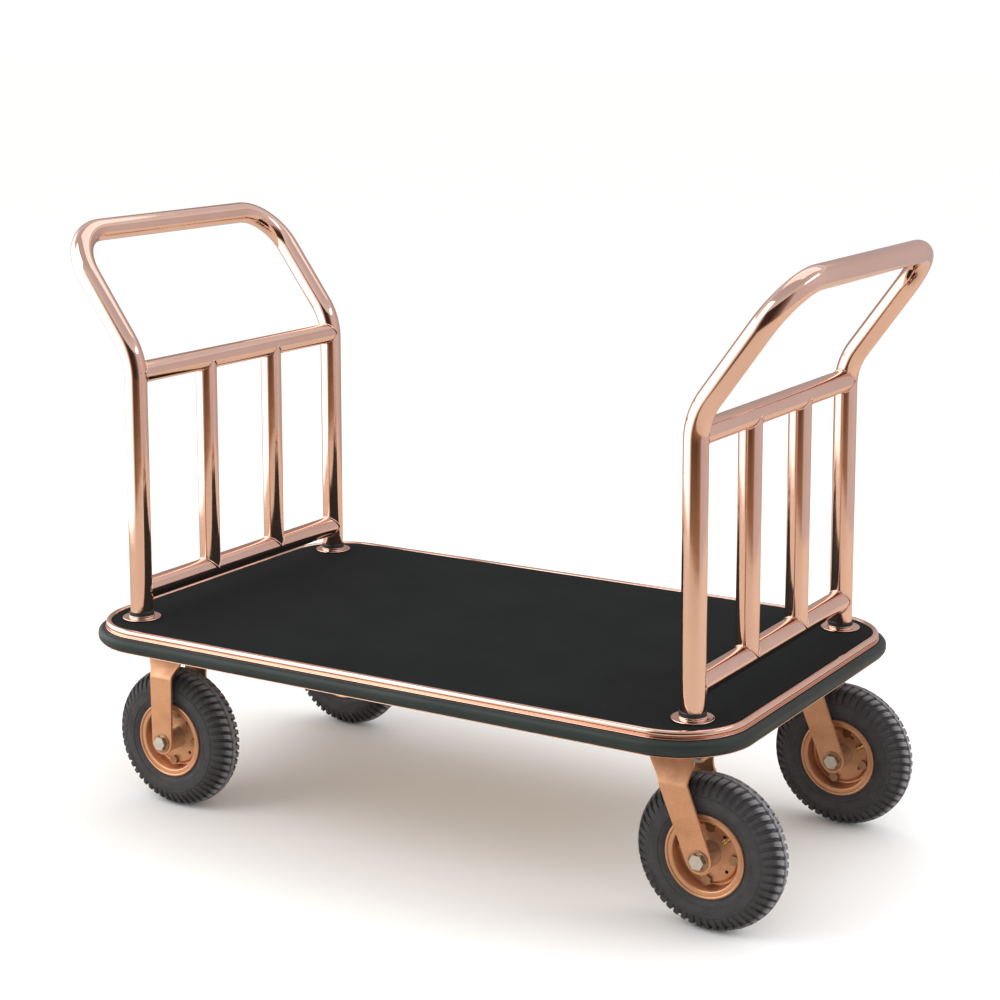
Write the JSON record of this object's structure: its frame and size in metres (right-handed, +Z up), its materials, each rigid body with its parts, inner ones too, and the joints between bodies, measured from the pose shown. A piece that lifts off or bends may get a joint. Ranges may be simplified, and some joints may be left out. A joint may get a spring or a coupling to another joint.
{
  "type": "luggage cart",
  "caption": "Flat-deck hotel luggage cart: carpeted deck with rubber bumper, a leaning bent-tube handle frame at each end, two rigid and two swivel casters with air tyres",
  "frame": {"origin": "on the floor, under the middle of the object's bounding box", "axes": "+X along the deck towards the swivel casters, +Y across the deck, +Z up"},
  "size_m": [1.265, 0.68, 0.9135],
  "materials": {
    "copper_mirror": "mirror-polished copper-coloured plating",
    "copper_paint": "satin copper metallic paint",
    "carpet": "short black cut pile",
    "plywood": "bare birch plywood",
    "bumper_rubber": "smooth satin black rubber",
    "frame_paint": "satin black paint",
    "zinc": "bright zinc plating",
    "bearing_steel": "ground steel",
    "tyre_rubber": "matte black moulded rubber",
    "tube_rubber": "matte black rubber",
    "valve_brass": "brass stem"
  },
  "bodies": {
    "cart": {"carpet": "carpet", "deck_panel": "plywood", "edge_trim": "copper_mirror", "bumper": "bumper_rubber", "frame_rails": "frame_paint", "crossmembers": "frame_paint", "caster_pads": "frame_paint", "post_sockets": "frame_paint", "post_set_screws": "zinc", "post_flanges": "copper_mirror", "left_handle": "copper_mirror", "right_handle": "copper_mirror", "cross_rails": "copper_mirror", "balusters": "copper_mirror", "caster_bolts": "zinc", "swivel_plates": "copper_paint", "king_pins": "zinc", "race_balls": "bearing_steel", "fl_fork": "copper_paint", "rl_fork": "copper_paint", "rigid_axle_bolts": "zinc", "rigid_axle_nuts": "zinc", "rigid_axle_spacers": "zinc"},
    "fr_swivel": {"fr_fork": "copper_paint", "fr_axle_bolt": "zinc", "fr_axle_nut": "zinc", "fr_axle_spacers": "zinc"},
    "rr_swivel": {"rr_fork": "copper_paint", "rr_axle_bolt": "zinc", "rr_axle_nut": "zinc", "rr_axle_spacers": "zinc"},
    "fl_wheel": {"fl_tyre": "tyre_rubber", "fl_inner_tube": "tube_rubber", "fl_rim": "copper_paint", "fl_rim_bolts": "zinc", "fl_hub": "zinc", "fl_bearings": "bearing_steel", "fl_valve": "valve_brass"},
    "rl_wheel": {"rl_tyre": "tyre_rubber", "rl_inner_tube": "tube_rubber", "rl_rim": "copper_paint", "rl_rim_bolts": "zinc", "rl_hub": "zinc", "rl_bearings": "bearing_steel", "rl_valve": "valve_brass"},
    "fr_wheel": {"fr_tyre": "tyre_rubber", "fr_inner_tube": "tube_rubber", "fr_rim": "copper_paint", "fr_rim_bolts": "zinc", "fr_hub": "zinc", "fr_bearings": "bearing_steel", "fr_valve": "valve_brass"},
    "rr_wheel": {"rr_tyre": "tyre_rubber", "rr_inner_tube": "tube_rubber", "rr_rim": "copper_paint", "rr_rim_bolts": "zinc", "rr_hub": "zinc", "rr_bearings": "bearing_steel", "rr_valve": "valve_brass"}
  },
  "joints": [
    {"name": "fr_swivel_turn", "type": "hinge", "parent": "cart", "child": "fr_swivel", "pos_m": [0.45, -0.23, 0.24], "axis": [0, 0, 1], "continuous": true},
    {"name": "rr_swivel_turn", "type": "hinge", "parent": "cart", "child": "rr_swivel", "pos_m": [0.45, 0.23, 0.24], "axis": [0, 0, 1], "continuous": true},
    {"name": "fl_wheel_spin", "type": "hinge", "parent": "cart", "child": "fl_wheel", "pos_m": [-0.43, -0.23, 0.11], "axis": [0, 1, 0], "continuous": true},
    {"name": "rl_wheel_spin", "type": "hinge", "parent": "cart", "child": "rl_wheel", "pos_m": [-0.43, 0.23, 0.11], "axis": [0, 1, 0], "continuous": true},
    {"name": "fr_wheel_spin", "type": "hinge", "parent": "fr_swivel", "child": "fr_wheel", "pos_m": [0.5, -0.23, 0.11], "axis": [0, 1, 0], "continuous": true},
    {"name": "rr_wheel_spin", "type": "hinge", "parent": "rr_swivel", "child": "rr_wheel", "pos_m": [0.5, 0.23, 0.11], "axis": [0, 1, 0], "continuous": true}
  ]
}
